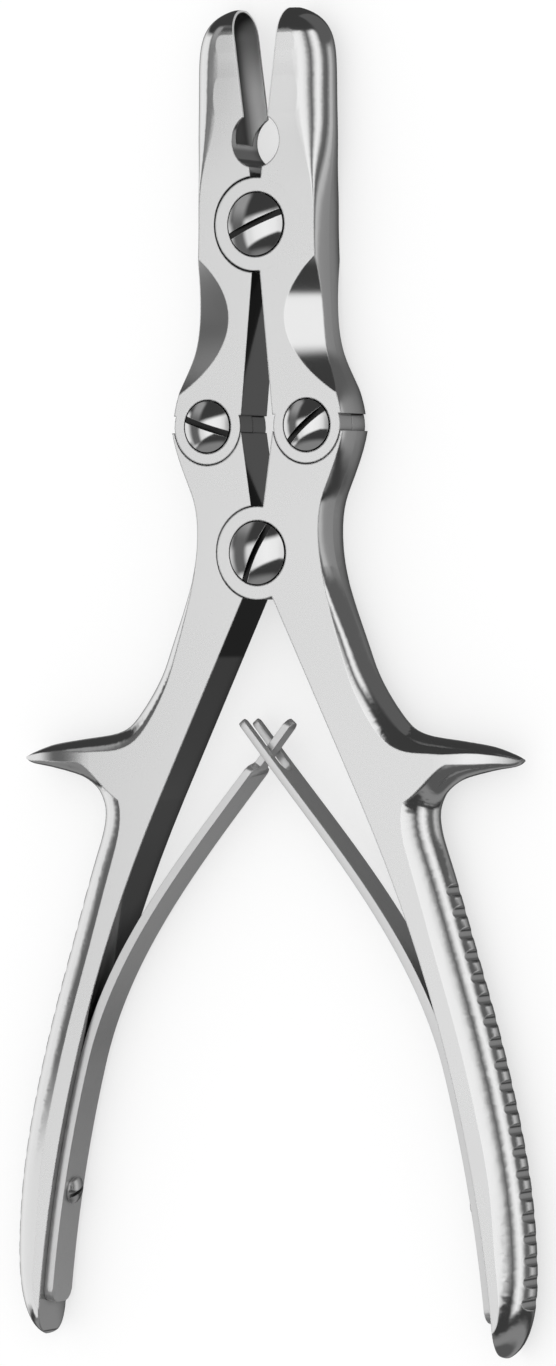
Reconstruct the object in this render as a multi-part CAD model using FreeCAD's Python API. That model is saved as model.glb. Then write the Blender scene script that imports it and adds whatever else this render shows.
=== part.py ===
"""Double-action bone rongeur, lying on its flat back with the jaws towards +Y.

Two jaws share a pivot screw, two handles share another, and each jaw's tail is screwed to the
handle on its own side, so that four lap joints make a kite-shaped linkage. Two leaf springs
hook through each other between the handles and hold them open. All sizes are in millimetres.
The origin is on the axis of the handle pivot, in the plane of the flat back.
"""

import FreeCAD, Part
import math
import os
from FreeCAD import Matrix, Vector

os.makedirs("parts", exist_ok=True)

# The forging's thickness and the four pivots
thickness = 10.5
jaw_pivot_y = 66.2
link_x = 11.5
link_y = 25.6

# Lap joints: a disc of half the thickness on each piece, in a round recess of the other
main_disc_r = 9.4
link_disc_r = 7.65
lap_clearance = 0.06
jaw_recess_clearance = 0.32
recess_clearance = 0.2
shoulder_gap = 3.4
shoulder_lip = 0.75

# Pivot screws
main_head_r = 6.3
main_shank_r = 3.7
main_thread_r = 3.4
link_head_r = 5.15
link_shank_r = 3.0
link_thread_r = 2.7
head_seat_depth = 2.4
head_rim_height = 0.15
head_dome = 1.25
head_clearance = 0.28
shank_clearance = 0.1
jaw_shank_clearance = 0.3
thread_clearance = 0.02
driver_slot_width = 1.25
driver_slot_depth = 1.3
jaw_screw_turn = 22.0
handle_screw_turn = 63.0
left_link_screw_turn = -18.0
right_link_screw_turn = 40.0

# Jaws: the mouth plane and the tail's inner edge are both radial to the jaw pivot
mouth_angle = 7.4
tail_angle = 5.4
throat_hole_r = 5.5
throat_hole_rise = 16.9
jaw_reach = 43.7
tip_round = 5.4
cup_rim = 0.6
side_crown = 0.6
jaw_waist_half_width = 14.0
jaw_nose_half_width = 15.4
jaw_nose_crown = 6.6

# Waist flutes, ground with a wheel across each outer edge of the jaws
flute_wheel_r = 39.0
flute_tilt = 15.7
flute_start_x = 6.45
flute_rise = 21.9

# Handles: the inner face is a line from the crotch and one tangent arc
handle_top_angle = 8.5
crotch_angle = 26.0
crotch_x = 23.4
crotch_line_drop = 50.0
inner_arc_r = 300.0
handle_drop = 160.3
handle_end_r = 1.1
handle_waist_half_width = 14.5
grip_depth = 10.2
grip_end_taper = 19.5

# Finger spurs: they thin out towards the tip along two large arcs, front and back
spur_tip_x = 57.4
spur_tip_drop = 41.6
spur_root_x = 39.0
spur_taper_x = 40.0
spur_taper_r = 40.0
spur_foot_drop = 8.4

# Grip grooves across the outer side of each handle
groove_pitch = 4.3
groove_first_drop = 67.4
groove_end_margin = 7.5
groove_r = 1.35
groove_depth = 1.1

# Leaf springs
spring_width = 7.6
spring_tip_width = 7.2
spring_base_thickness = 2.1
spring_tip_thickness = 1.5
spring_end_margin = 7.0
spring_lift_drop = 104.0
spring_cross_drop = 40.0
spring_cross_angle = 40.0
spring_tip_length = 8.0
tongue_width = 3.0
fork_slot_width = 3.8
tongue_shoulder = 3.0
fork_slot_root = 4.5
spring_seat_gap = 0.03

# Spring screws
spring_screw_rise = 30.3
spring_head_r = 2.85
spring_head_dome = 1.0
spring_head_rim = 0.5
spring_shank_r = 1.5
spring_screw_depth = 5.5
spring_slot_width = 0.8
spring_slot_depth = 0.9
spring_hole_clearance = 0.1

mid = thickness / 2
jaw_pivot = Vector(0, jaw_pivot_y, 0)
handle_pivot = Vector(0, 0, 0)
right_link = Vector(link_x, link_y, 0)
left_link = Vector(-link_x, link_y, 0)
jaw_shoulder_y = link_y + 0.65 * shoulder_gap
handle_shoulder_y = jaw_shoulder_y - shoulder_gap
shoulder_x = link_x + link_disc_r + shoulder_lip
tip_y = jaw_pivot_y + jaw_reach
spring_screw_drop = handle_drop - spring_screw_rise
spring_end_drop = handle_drop - spring_end_margin
groove_count = int((handle_drop - groove_end_margin - groove_first_drop) / groove_pitch) + 1
spur_tip_y = -spur_tip_drop
spur_foot_y = spur_tip_y - spur_foot_drop
outside = 2 * spur_tip_x
circle_handle = 0.5523
front_spare = 0.08
back_to_front = Vector(0, 0, 1)
sideways = Vector(1, 0, 0)


class EdgeLine:
    """A smooth line through (y, value) stations, read back at any height between them."""

    def __init__(self, stations):
        self.curve = Part.BSplineCurve()
        self.curve.interpolate([Vector(value, y, 0) for y, value in stations])
        self.rising = stations[-1][0] > stations[0][0]

    def at(self, y):
        low, high = self.curve.FirstParameter, self.curve.LastParameter
        for _ in range(50):
            middle = (low + high) / 2
            if (self.curve.value(middle).y < y) == self.rising:
                low = middle
            else:
                high = middle
        return self.curve.value((low + high) / 2).x


def rod(r, centre, z0, z1):
    """A round bar along Z."""
    return Part.makeCylinder(r, z1 - z0, Vector(centre.x, centre.y, z0))


def slab(points, z0=0.0, z1=thickness):
    """A straight-edged outline in XY, raised from z0 to z1."""
    corners = [Vector(x, y, z0) for x, y in points]
    return Part.Face(Part.makePolygon(corners + corners[:1])).extrude(Vector(0, 0, z1 - z0))


def one_solid(shape):
    """The single solid that a boolean left, with its seams cleaned up."""
    solids = shape.removeSplitter().Solids
    if len(solids) != 1:
        raise ValueError("expected one solid, got %d" % len(solids))
    return solids[0]


def mirrored(shape):
    """The same piece for the other side."""
    return shape.mirror(Vector(0, 0, 0), Vector(1, 0, 0))


def edge_section(edge, outward, crown, depth, half_at):
    """A section across an outer edge: half an ellipse, with flats that run inwards to a depth.

    half_at gives the half thickness at a place.
    """
    shoulder, inner = edge - outward * crown, edge - outward * depth
    climb = back_to_front * half_at(shoulder)
    rise = back_to_front * half_at(inner)
    reach = outward * (circle_handle * crown)
    edges = []
    for side in (-1, 1):
        quarter = Part.BezierCurve()
        quarter.setPoles([shoulder + climb * side, shoulder + climb * side + reach,
                          edge + climb * (side * circle_handle), edge])
        flat = Part.LineSegment(inner + rise * side, shoulder + climb * side)
        edges.append((flat.toShape(), quarter.toShape()))
    back = Part.LineSegment(inner + rise, inner - rise).toShape()
    return Part.Wire([edges[0][0], edges[0][1], edges[1][1], edges[1][0], back])


def level_bar(sections):
    """A solid through level sections, given as (y, inner, outer, crown, half thickness)."""
    wires = []
    for y, inner, outer, crown, half in sections:
        wires.append(edge_section(Vector(outer, y, mid), sideways, crown, outer - inner, lambda _: half))
    return Part.makeLoft(wires, True, False)


def jaw_bar():
    """The right jaw's bar before its mouth, flutes and joints are cut."""
    body = [
        (jaw_shoulder_y - 3.0, shoulder_x + 0.45, side_crown),
        (jaw_shoulder_y + 1.0, shoulder_x - 0.25, side_crown),
        (jaw_shoulder_y + 5.2, shoulder_x - 1.5, side_crown),
        (jaw_pivot_y - 28.2, jaw_waist_half_width + 2.3, side_crown),
        (jaw_pivot_y - 22.2, jaw_waist_half_width + 0.8, side_crown),
        (jaw_pivot_y - 15.2, jaw_waist_half_width + 0.3, side_crown),
        (jaw_pivot_y - 6.2, jaw_waist_half_width, side_crown),
        (jaw_pivot_y + 2.0, jaw_waist_half_width + 0.1, side_crown + 0.3),
        (jaw_pivot_y + 9.0, jaw_waist_half_width + 0.65, side_crown + 1.5),
        (jaw_pivot_y + 15.0, jaw_nose_half_width - 0.15, jaw_nose_crown - 2.3),
        (jaw_pivot_y + 22.0, jaw_nose_half_width + 0.05, jaw_nose_crown - 0.4),
        (tip_y - 14.0, jaw_nose_half_width, jaw_nose_crown),
        (tip_y - 9.0, jaw_nose_half_width - 0.25, jaw_nose_crown),
    ]
    nose = [
        (tip_y - 5.4, jaw_nose_half_width - 1.15, jaw_nose_crown - 0.3),
        (tip_y - 3.3, jaw_nose_half_width - 2.4, jaw_nose_crown - 0.7),
        (tip_y - 1.6, jaw_nose_half_width - 4.3, jaw_nose_crown - 1.6),
        (tip_y - 0.55, jaw_nose_half_width - 6.4, jaw_nose_crown - 3.2),
        (tip_y - 0.12, jaw_nose_half_width - 7.8, jaw_nose_crown - 4.6),
    ]
    sections = [(y, -2.0, outer, crown, mid) for y, outer, crown in body]
    for y, outer, crown in nose:
        rise = min(1.0, max(0.0, (y - tip_y + tip_round) / tip_round))
        sections.append((y, -2.0, outer, crown, mid * math.sqrt(1.0 - rise ** 2)))
    return level_bar(sections)


def flute():
    """The wheel that grinds the front flute of the right jaw."""
    tilt = math.radians(flute_tilt)
    along = Vector(math.cos(tilt), 0, -math.sin(tilt))
    up = Vector(math.sin(tilt), 0, math.cos(tilt))
    start = Vector(flute_start_x, link_y + flute_rise, thickness)
    base = start + up * flute_wheel_r - along * flute_wheel_r
    return Part.makeCylinder(flute_wheel_r, 3 * flute_wheel_r, base, along)


def back_copy(shape):
    """The same cut on the back face."""
    return shape.mirror(Vector(0, 0, mid), Vector(0, 0, 1))


def jaw_cup():
    """The gouge-shaped hollow behind the mouth: a half-round channel with a round end."""
    angle = math.radians(mouth_angle)
    along = Vector(math.sin(angle), math.cos(angle), 0)
    centre = Vector(0, jaw_pivot_y, mid)
    radius = mid - cup_rim
    reach = (jaw_reach - tip_round) / math.cos(angle) + tip_round - mid
    start = throat_hole_rise / math.cos(angle)
    channel = Part.makeCylinder(radius, reach - start, centre + along * start, along)
    return channel.fuse(Part.makeSphere(radius, centre + along * reach))


def jaw_blank():
    """The right jaw without its two lap joints."""
    mouth = math.tan(math.radians(mouth_angle))
    tail = math.tan(math.radians(tail_angle))
    mouth_rise = jaw_reach + 5.0
    outline = slab([
        (0, jaw_pivot_y),
        (mouth_rise * mouth, jaw_pivot_y + mouth_rise),
        (outside, jaw_pivot_y + mouth_rise),
        (outside, jaw_shoulder_y),
        ((jaw_pivot_y - jaw_shoulder_y) * tail, jaw_shoulder_y),
    ])
    throat = Vector(0, jaw_pivot_y + throat_hole_rise, 0)
    blank = jaw_bar().common(outline)
    blank = blank.cut([flute(), back_copy(flute()), jaw_cup(), rod(throat_hole_r, throat, 0, thickness)])
    return one_solid(blank)


def add_lap(piece, centre, disc_r, clearance, in_front):
    """Gives a piece its half of a lap joint: its own disc, and the recess for the other one."""
    half_gap = lap_clearance / 2
    own = (mid + half_gap, thickness) if in_front else (0, mid - half_gap)
    other = (0, mid + half_gap) if in_front else (mid - half_gap, thickness)
    piece = piece.cut(rod(disc_r + clearance, centre, *other))
    return piece.fuse(rod(disc_r, centre, *own))


def head_seat(centre, head_r, shank_r, clearance):
    """The counterbore and the running hole that a front disc needs."""
    seat = rod(head_r + head_clearance, centre, thickness - head_seat_depth, thickness)
    return seat.fuse(rod(shank_r + clearance, centre, mid, thickness))


def threaded_hole(centre, thread_r):
    """The tapped hole through a back disc."""
    return rod(thread_r + thread_clearance, centre, 0, mid)


def jaw(is_right):
    """One jaw. The right one is in front at the jaw pivot, and both tails are in front."""
    link = right_link if is_right else left_link
    piece = jaw_blank() if is_right else mirrored(jaw_blank())
    piece = add_lap(piece, jaw_pivot, main_disc_r, jaw_recess_clearance, is_right)
    piece = add_lap(piece, link, link_disc_r, recess_clearance, True)
    if is_right:
        piece = piece.cut(head_seat(jaw_pivot, main_head_r, main_shank_r, jaw_shank_clearance))
    else:
        piece = piece.cut(threaded_hole(jaw_pivot, main_thread_r))
    return one_solid(piece.cut(head_seat(link, link_head_r, link_shank_r, shank_clearance)))


def inner_face_angle(y):
    """How far the handle's inner face leans from the Y axis at a height, in radians."""
    lean = math.radians(crotch_angle)
    drop = max(0.0, -y - crotch_line_drop)
    return math.asin(math.sin(lean) - drop / inner_arc_r)


def inner_face_x(y):
    """The place of the right handle's inner face at a height."""
    lean = math.radians(crotch_angle)
    if -y <= crotch_line_drop:
        return crotch_x - (crotch_line_drop + y) * math.tan(lean)
    return crotch_x + inner_arc_r * (math.cos(inner_face_angle(y)) - math.cos(lean))


def spur_half(place):
    """Half the handle's thickness at a place: full at the bar, less towards the spur's tip."""
    run = max(0.0, place.x - spur_taper_x) if place.y > spur_foot_y else 0.0
    return mid - (spur_taper_r - math.sqrt(spur_taper_r ** 2 - run ** 2))


def along_spur(share):
    """The X of a place on the spur, from its root at 0 to its tip at 1."""
    return spur_root_x + share * (spur_tip_x - spur_root_x)


def beside_grip(y, offset):
    """The X of a place beside the grip's outer side at a height."""
    return inner_face_x(y) + grip_depth + offset


def upper_edge():
    """The outer edge from the shoulder to the spur's tip, as (x, y, crown, depth)."""
    waist = handle_waist_half_width
    return [
        (shoulder_x + 0.3, handle_shoulder_y + 3.0, side_crown, 26.0),
        (shoulder_x + 0.05, handle_shoulder_y - 1.4, side_crown, 26.0),
        (shoulder_x - 1.35, handle_shoulder_y - 5.9, side_crown, 25.0),
        (waist + 0.95, 11.0, side_crown, 22.0),
        (waist + 0.05, 3.5, side_crown + 0.1, 21.0),
        (waist + 1.9, -5.4, 1.6, 20.0),
        (waist + 5.2, spur_tip_y * 0.3245, 3.0, 17.0),
        (waist + 8.5, spur_tip_y * 0.519, 3.9, 17.0),
        (waist + 11.6, spur_tip_y * 0.661, 4.6, 17.0),
        (along_spur(-0.495), spur_tip_y + 9.0, 5.2, 17.5),
        (along_spur(-0.37), spur_tip_y + 6.7, 5.2, 17.5),
        (along_spur(-0.19), spur_tip_y + 5.15, 4.5, 15.0),
        (along_spur(0.054), spur_tip_y + 4.35, 3.7, 8.0),
        (along_spur(0.38), spur_tip_y + 3.55, 2.7, 3.6),
        (along_spur(0.625), spur_tip_y + 2.8, 2.0, 2.8),
        (along_spur(0.815), spur_tip_y + 1.75, 1.3, 1.9),
        (along_spur(0.935), spur_tip_y + 0.9, 0.7, 1.1),
        (along_spur(1.0), spur_tip_y + 0.25, 0.3, 0.45),
    ]


def lower_edge():
    """The outer edge from the spur's tip down the grip, as (x, y, crown, depth)."""
    edge = [
        (along_spur(1.0), spur_tip_y - 0.25, 0.3, 0.45),
        (along_spur(0.945), spur_tip_y - 1.0, 0.75, 1.1),
        (along_spur(0.793), spur_tip_y - 1.6, 1.4, 1.9),
        (along_spur(0.598), spur_tip_y - 2.25, 2.1, 2.8),
        (along_spur(0.397), spur_tip_y - 3.1, 3.1, 3.9),
        (along_spur(0.217), spur_tip_y - 4.25, 4.7, 5.8),
        (along_spur(0.098), spur_tip_y - 5.75, 6.1, 8.0),
    ]
    fillet = [(7.6, 6.1, 6.9, 15.0), (9.9, 4.15, 7.2, 17.0), (12.2, 3.0, 7.4, 17.0), (15.2, 2.2, 7.5, 16.0),
              (20.4, 1.65, 7.7, 15.0)]
    for drop, offset, crown, depth in fillet:
        y = spur_tip_y - drop
        edge.append((beside_grip(y, offset), y, crown, depth))
    grip = [(16.0, 0.45), (32.4, 0.1), (48.5, -0.05), (64.7, -0.4), (78.8, -1.5)]
    grip_top, grip_low = spur_tip_y - fillet[-1][0], -handle_drop + grip_end_taper
    for run, offset in grip:
        y = grip_top + run * (grip_low - grip_top) / grip[-1][0]
        edge.append((beside_grip(y, offset), y, 8.0, 15.0))
    return edge


grip_end_y = -handle_drop + 9.3
grip_end_x = beside_grip(grip_end_y, -3.4)
handle_outer = EdgeLine([(y, x) for x, y, _, _ in lower_edge() if y < -50] + [(grip_end_y, grip_end_x)])


def edge_body(stations, spare, level_end):
    """A solid behind an edge, with flats that stand proud by a spare and an end of level sections."""
    path = Part.BSplineCurve()
    path.interpolate([Vector(x, y, mid) for x, y, _, _ in stations])

    def proud(place):
        return spur_half(place) + spare

    wires = []
    for x, y, crown, depth in stations:
        edge = Vector(x, y, mid)
        way = path.tangent(path.parameter(edge))[0]
        wires.append(edge_section(edge, Vector(-way.y, way.x, 0).normalize(), crown, depth, proud))
    for x, y, crown, depth, share in level_end:
        half = mid * share + spare
        wires.append(edge_section(Vector(x, y, mid), sideways, crown, depth, lambda _: half))
    return Part.makeLoft(wires, True, False)


def handle_body():
    """The right handle with its spur, wider than the handle on its inner side."""
    end = [(9.3, 0.0, 6.3, 1.0), (5.0, 1.3, 5.4, 0.97), (2.2, 2.9, 4.0, 0.82), (0.6, 4.5, 2.8, 0.54),
           (0.1, 5.3, 2.0, 0.3)]
    level = [(grip_end_x - inset, -handle_drop + rise, crown, 13.0, share) for rise, inset, crown, share in end]
    upper = edge_body(upper_edge(), front_spare, [])
    return upper.fuse(edge_body(lower_edge(), 1.5 * front_spare, level))


def spur_taper():
    """The region that is kept when the spur is thinned by an arc on the front and on the back."""
    run = spur_tip_x + 1.0 - spur_taper_x
    sides = []
    for side in (-1, 1):
        stops = [Vector(spur_taper_x + share * run, spur_foot_y, mid) for share in (0.0, 0.5, 1.0)]
        sides.append([stop + back_to_front * (side * spur_half(stop + Vector(0, 1, 0))) for stop in stops])
    back, front = sides
    edges = [Part.Arc(*back).toShape(), Part.LineSegment(back[2], front[2]).toShape(),
             Part.Arc(*front).toShape(), Part.LineSegment(front[0], back[0]).toShape()]
    spur = Part.Face(Part.Wire(edges)).extrude(Vector(0, outside, 0))
    handle_side = slab([(-outside, -outside - handle_drop), (outside, -outside - handle_drop),
                        (outside, spur_foot_y), (spur_taper_x, spur_foot_y),
                        (spur_taper_x, outside), (-outside, outside)])
    return spur.fuse(handle_side)


def handle_outline():
    """The region that the right handle keeps: gap, crotch line, inner arc and rounded end."""
    top = math.tan(math.radians(handle_top_angle))
    arc_start = -crotch_line_drop
    arc_end = -handle_drop + handle_end_r
    arc_middle = (arc_start + arc_end) / 2
    start = Vector(inner_face_x(arc_start), arc_start, 0)
    middle = Vector(inner_face_x(arc_middle), arc_middle, 0)
    end = Vector(inner_face_x(arc_end), arc_end, 0)
    corner = Vector(end.x + handle_end_r, -handle_drop, 0)
    lean = math.radians(45)
    bulge = Vector(end.x + handle_end_r * (1 - math.cos(lean)), arc_end - handle_end_r * math.sin(lean), 0)
    crotch_y = -crotch_line_drop + crotch_x / math.tan(math.radians(crotch_angle))
    points = [Vector(outside, -handle_drop, 0), Vector(outside, handle_shoulder_y, 0),
              Vector(handle_shoulder_y * top, handle_shoulder_y, 0), Vector(0, 0, 0),
              Vector(0, crotch_y, 0), start]
    edges = [Part.LineSegment(a, b).toShape() for a, b in zip(points, points[1:])]
    edges.append(Part.Arc(start, middle, end).toShape())
    edges.append(Part.Arc(end, bulge, corner).toShape())
    edges.append(Part.LineSegment(corner, points[0]).toShape())
    return Part.Face(Part.Wire(edges)).extrude(Vector(0, 0, thickness))


def grip_grooves():
    """The round-bottomed cuts across the outer side of the right grip."""
    cuts = []
    for index in range(groove_count):
        y = -groove_first_drop - index * groove_pitch
        x = handle_outer.at(y) + groove_r - groove_depth
        cuts.append(rod(groove_r, Vector(x, y, 0), 0, thickness))
    return cuts


def spring_screw_frame():
    """The seat of the right spring screw on the inner face, and the way out of its hole."""
    y = -spring_screw_drop
    angle = inner_face_angle(y)
    return Vector(inner_face_x(y), y, mid), Vector(-math.cos(angle), -math.sin(angle), 0)


def handle_blank():
    """The right handle without its lap joints."""
    seat, outward = spring_screw_frame()
    hole_r = spring_shank_r + thread_clearance
    hole = Part.makeCylinder(hole_r, spring_screw_depth, seat - outward * spring_screw_depth, outward)
    blank = handle_body().common(handle_outline()).common(spur_taper())
    return one_solid(blank.cut(grip_grooves() + [hole]))


def handle(is_right):
    """One handle. The right one is in front at the handle pivot, and both are behind the jaws."""
    link = right_link if is_right else left_link
    piece = handle_blank() if is_right else mirrored(handle_blank())
    piece = add_lap(piece, handle_pivot, main_disc_r, recess_clearance, is_right)
    piece = add_lap(piece, link, link_disc_r, recess_clearance, False)
    if is_right:
        piece = piece.cut(head_seat(handle_pivot, main_head_r, main_shank_r, shank_clearance))
    else:
        piece = piece.cut(threaded_hole(handle_pivot, main_thread_r))
    return one_solid(piece.cut(threaded_hole(link, link_thread_r)))


def domed_head(centre, head_r, low, rim, dome):
    """A round head with a spherical top."""
    sphere_r = (head_r ** 2 + dome ** 2) / (2 * dome)
    cap = Part.makeSphere(sphere_r, Vector(centre.x, centre.y, rim + dome - sphere_r))
    return rod(head_r, centre, low, rim + dome).common(cap)


def driver_slot(centre, turn, head_r, top, width, depth):
    """The straight slot for a screwdriver."""
    cut = Part.makeBox(2.2 * head_r, width, 2 * depth, Vector(-1.1 * head_r, -width / 2, top - depth))
    cut.rotate(Vector(0, 0, 0), Vector(0, 0, 1), turn)
    cut.translate(centre)
    return cut


def pivot_screw(centre, head_r, shank_r, thread_r, turn):
    """A shouldered pivot screw, slotted on the front and flush with the flat back."""
    rim = thickness + head_rim_height
    seat = thickness - head_seat_depth
    half_gap = lap_clearance / 2
    head = domed_head(centre, head_r, seat, rim, head_dome)
    body = rod(shank_r, centre, mid - half_gap, seat).fuse(rod(thread_r, centre, 0, mid))
    slot = driver_slot(centre, turn, head_r, rim + head_dome, driver_slot_width, driver_slot_depth)
    return one_solid(head.fuse(body).cut(slot))


def spring_line():
    """The right spring's middle line: (point, thickness) from its foot to its tip."""
    line = []
    seated_steps, free_steps = 6, 12
    for step in range(seated_steps):
        drop = spring_end_drop + (spring_lift_drop - spring_end_drop) * step / seated_steps
        angle = inner_face_angle(-drop)
        inset = spring_base_thickness / 2 + spring_seat_gap
        line.append(Vector(inner_face_x(-drop), -drop, 0) - Vector(math.cos(angle), math.sin(angle), 0) * inset)
    angle = inner_face_angle(-spring_lift_drop)
    inset = spring_base_thickness / 2 + spring_seat_gap
    lift = Vector(inner_face_x(-spring_lift_drop), -spring_lift_drop, 0)
    lift = lift - Vector(math.cos(angle), math.sin(angle), 0) * inset
    cross = Vector(0, -spring_cross_drop, 0)
    lean = math.radians(spring_cross_angle)
    start_way = Vector(-math.sin(angle), math.cos(angle), 0)
    end_way = Vector(-math.sin(lean), math.cos(lean), 0)
    reach = (cross - lift).Length / 3
    bend = Part.BezierCurve()
    bend.setPoles([lift, lift + start_way * reach, cross - end_way * reach, cross])
    line += [bend.value(step / free_steps) for step in range(free_steps + 1)]
    line.append(cross + end_way * (spring_tip_length / 2))
    line.append(cross + end_way * spring_tip_length)
    taper_start = seated_steps
    thick = []
    for index in range(len(line)):
        share = max(0.0, (index - taper_start) / (len(line) - 1 - taper_start))
        thick.append(spring_base_thickness + (spring_tip_thickness - spring_base_thickness) * share)
    return list(zip(line, thick))


def spring_strip():
    """The right spring as a tapered strip of full width, bent to its line."""
    line = spring_line()
    points = [point for point, _ in line]
    sides = ([], [])
    for index, (point, thick) in enumerate(line):
        before, after = points[max(0, index - 1)], points[min(len(points) - 1, index + 1)]
        way = (after - before).normalize()
        across = Vector(way.y, -way.x, 0) * (thick / 2)
        sides[0].append(point + across)
        sides[1].append(point - across)
    curves = []
    for side in sides:
        curve = Part.BSplineCurve()
        curve.interpolate(side)
        curves.append(curve.toShape())
    ends = [Part.LineSegment(sides[0][-1], sides[1][-1]).toShape(),
            Part.LineSegment(sides[1][0], sides[0][0]).toShape()]
    outline = Part.Wire([curves[0], ends[0], curves[1], ends[1]])
    return Part.Face(outline).extrude(Vector(0, 0, thickness))


def side_window(low_y, high_y, low_width, high_width, round_top=0.0, round_bottom=0.0):
    """A block across X whose height in Z tapers from one Y to another, with rounded corners."""
    low, high = low_width / 2, high_width / 2
    corners = [Vector(-outside, low_y, mid - low), Vector(-outside, high_y, mid - high),
               Vector(-outside, high_y, mid + high), Vector(-outside, low_y, mid + low)]
    block = Part.Face(Part.makePolygon(corners + corners[:1])).extrude(Vector(2 * outside, 0, 0))
    for at_y, radius in ((high_y, round_top), (low_y, round_bottom)):
        if radius > 0:
            edges = [edge for edge in block.Edges
                     if abs(edge.CenterOfMass.y - at_y) < 1e-6 and edge.Length > outside]
            block = block.makeFillet(radius, edges)
    return block


def spring_end_y():
    """The height of the springs' tips."""
    return -spring_cross_drop + spring_tip_length * math.cos(math.radians(spring_cross_angle))


def spring_hole():
    """The hole in the right spring for its screw."""
    seat, outward = spring_screw_frame()
    return Part.makeCylinder(spring_shank_r + spring_hole_clearance, 3 * spring_base_thickness,
                             seat - outward * spring_base_thickness, outward)


def right_leaf_spring():
    """The spring with the forked end."""
    top = spring_end_y()
    prong = (spring_tip_width - fork_slot_width) / 2
    window = side_window(-spring_end_drop - 1, top, spring_width, spring_tip_width,
                         round_top=0.9 * prong, round_bottom=spring_width / 3)
    root = -spring_cross_drop - fork_slot_root
    slot = side_window(root, top + 1, fork_slot_width, fork_slot_width, round_bottom=fork_slot_width / 2.2)
    return one_solid(spring_strip().common(window).cut([slot, spring_hole()]))


def left_leaf_spring():
    """The spring with the tongue that goes through the fork."""
    shoulder = -spring_cross_drop - tongue_shoulder
    blade = side_window(-spring_end_drop - 1, shoulder, spring_width, spring_tip_width,
                        round_bottom=spring_width / 3, round_top=1.5)
    tongue = side_window(shoulder - 2, spring_end_y(), tongue_width, tongue_width,
                         round_top=0.45 * tongue_width)
    strip = spring_strip().common(blade.fuse(tongue)).cut(spring_hole())
    return one_solid(mirrored(strip))


def spring_screw(is_right):
    """A short round-headed screw through a spring into its handle."""
    seat, outward = spring_screw_frame()
    top = spring_base_thickness + 2 * spring_seat_gap
    axis = Vector(0, 0, 0)
    head = domed_head(axis, spring_head_r, top, top + spring_head_rim, spring_head_dome)
    shank = rod(spring_shank_r, axis, -spring_screw_depth, top)
    slot_top = top + spring_head_rim + spring_head_dome
    slot = driver_slot(axis, 25, spring_head_r, slot_top, spring_slot_width, spring_slot_depth)
    screw = one_solid(head.fuse(shank).cut(slot))
    turn = Matrix()
    side = Vector(0, 0, 1)
    up = side.cross(outward)
    turn.A11, turn.A12, turn.A13, turn.A14 = side.x, up.x, outward.x, seat.x
    turn.A21, turn.A22, turn.A23, turn.A24 = side.y, up.y, outward.y, seat.y
    turn.A31, turn.A32, turn.A33, turn.A34 = side.z, up.z, outward.z, seat.z
    screw = screw.transformGeometry(turn)
    return screw if is_right else mirrored(screw)


pieces = {
    "left_jaw": jaw(False),
    "right_jaw": jaw(True),
    "left_handle": handle(False),
    "right_handle": handle(True),
    "jaw_pivot_screw": pivot_screw(jaw_pivot, main_head_r, main_shank_r, main_thread_r, jaw_screw_turn),
    "handle_pivot_screw": pivot_screw(handle_pivot, main_head_r, main_shank_r, main_thread_r,
                                      handle_screw_turn),
    "left_link_screw": pivot_screw(left_link, link_head_r, link_shank_r, link_thread_r,
                                   left_link_screw_turn),
    "right_link_screw": pivot_screw(right_link, link_head_r, link_shank_r, link_thread_r,
                                    right_link_screw_turn),
    "left_leaf_spring": left_leaf_spring(),
    "right_leaf_spring": right_leaf_spring(),
    "left_spring_screw": spring_screw(False),
    "right_spring_screw": spring_screw(True),
}

for name, shape in pieces.items():
    shape.exportStep("parts/%s.step" % name)
    print(name, "valid", shape.isValid(), "volume", round(shape.Volume, 1))
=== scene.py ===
"""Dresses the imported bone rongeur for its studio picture.

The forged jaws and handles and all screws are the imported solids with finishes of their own. The
two leaf springs are modelled here, because they bend between the handles when these are squeezed.
Lengths are in millimetres in the classes below and become metres where meshes are made.
"""

from __future__ import annotations

import logging
import math
from dataclasses import dataclass, field
from enum import Enum
from typing import Any, Iterable, Optional, Sequence, Union

import bmesh
import bpy
from mathutils import Matrix, Vector

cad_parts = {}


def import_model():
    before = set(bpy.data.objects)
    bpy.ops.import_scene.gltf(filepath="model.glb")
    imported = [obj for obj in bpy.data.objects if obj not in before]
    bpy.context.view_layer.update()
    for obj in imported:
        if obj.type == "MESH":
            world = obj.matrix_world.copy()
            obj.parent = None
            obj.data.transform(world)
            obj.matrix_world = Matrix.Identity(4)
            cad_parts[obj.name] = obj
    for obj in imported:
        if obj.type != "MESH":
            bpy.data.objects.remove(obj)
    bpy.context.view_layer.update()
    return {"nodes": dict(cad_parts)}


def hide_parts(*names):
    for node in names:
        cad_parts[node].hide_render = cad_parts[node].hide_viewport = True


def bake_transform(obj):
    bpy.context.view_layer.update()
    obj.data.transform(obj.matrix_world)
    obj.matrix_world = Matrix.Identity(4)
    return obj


MM = 0.001
DEGREES = 180.0 / math.pi
NOISE_MEAN = 0.5
WHITE = (1.0, 1.0, 1.0, 1.0)

log = logging.getLogger("rongeur")

Number = Union[float, "Signal"]
SocketKey = Union[str, int]
Span = tuple[float, float]


class Side(Enum):
    """Which half of the instrument a piece belongs to, as the sign of its X."""

    LEFT = -1
    RIGHT = 1

    @property
    def word(self) -> str:
        """The side's name as it stands in node and body names."""
        return self.name.lower()

    @property
    def other(self) -> "Side":
        """The opposite side."""
        return Side.RIGHT if self is Side.LEFT else Side.LEFT

    def body(self, part: str) -> str:
        """The name of this side's rigid body, such as left_handle_body."""
        return f"{self.word}_{part}_body"


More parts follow.
